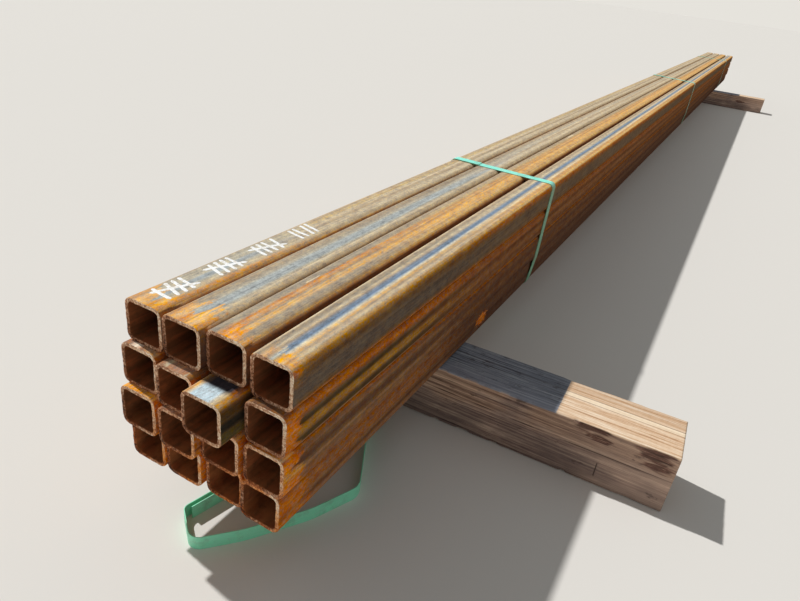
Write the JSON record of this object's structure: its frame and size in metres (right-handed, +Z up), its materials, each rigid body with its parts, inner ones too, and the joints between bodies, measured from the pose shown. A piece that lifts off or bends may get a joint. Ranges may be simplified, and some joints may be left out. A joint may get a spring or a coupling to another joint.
{
  "type": "strapped stack of square steel tubing",
  "caption": "Strapped stack of weathered square steel tubes with staggered ends, lying across two sawn timber bearers, with a strap slipped off one end.",
  "frame": {"origin": "bottom centre of the whole stack's box, on the floor under its bearers", "axes": "+X along the tubes, away from the end where the slipped-off strap lies; +Y to the bundle's left seen from that end; +Z up"},
  "size_m": [6.131, 0.8132, 0.3003],
  "materials": {
    "tube_steel": "hot-rolled mill scale, rusted in streaks along the tubes, with rough cut ends",
    "strap_plastic": "extruded green polyester strapping, slightly embossed",
    "bearer_wood": "weathered rough-sawn timber"
  },
  "bodies": {
    "root": {"bearer_far": "bearer_wood", "bearer_near": "bearer_wood", "loose_strap": "strap_plastic", "strap_far": "strap_plastic", "strap_middle": "strap_plastic", "strap_near": "strap_plastic", "tube_bottom_1": "tube_steel", "tube_bottom_2": "tube_steel", "tube_bottom_3": "tube_steel", "tube_bottom_4": "tube_steel", "tube_lower_1": "tube_steel", "tube_lower_2": "tube_steel", "tube_lower_3": "tube_steel", "tube_lower_4": "tube_steel", "tube_top_1": "tube_steel", "tube_top_2": "tube_steel", "tube_top_3": "tube_steel", "tube_top_4": "tube_steel", "tube_upper_1": "tube_steel", "tube_upper_2": "tube_steel", "tube_upper_3": "tube_steel", "tube_upper_4": "tube_steel"}
  },
  "joints": []
}
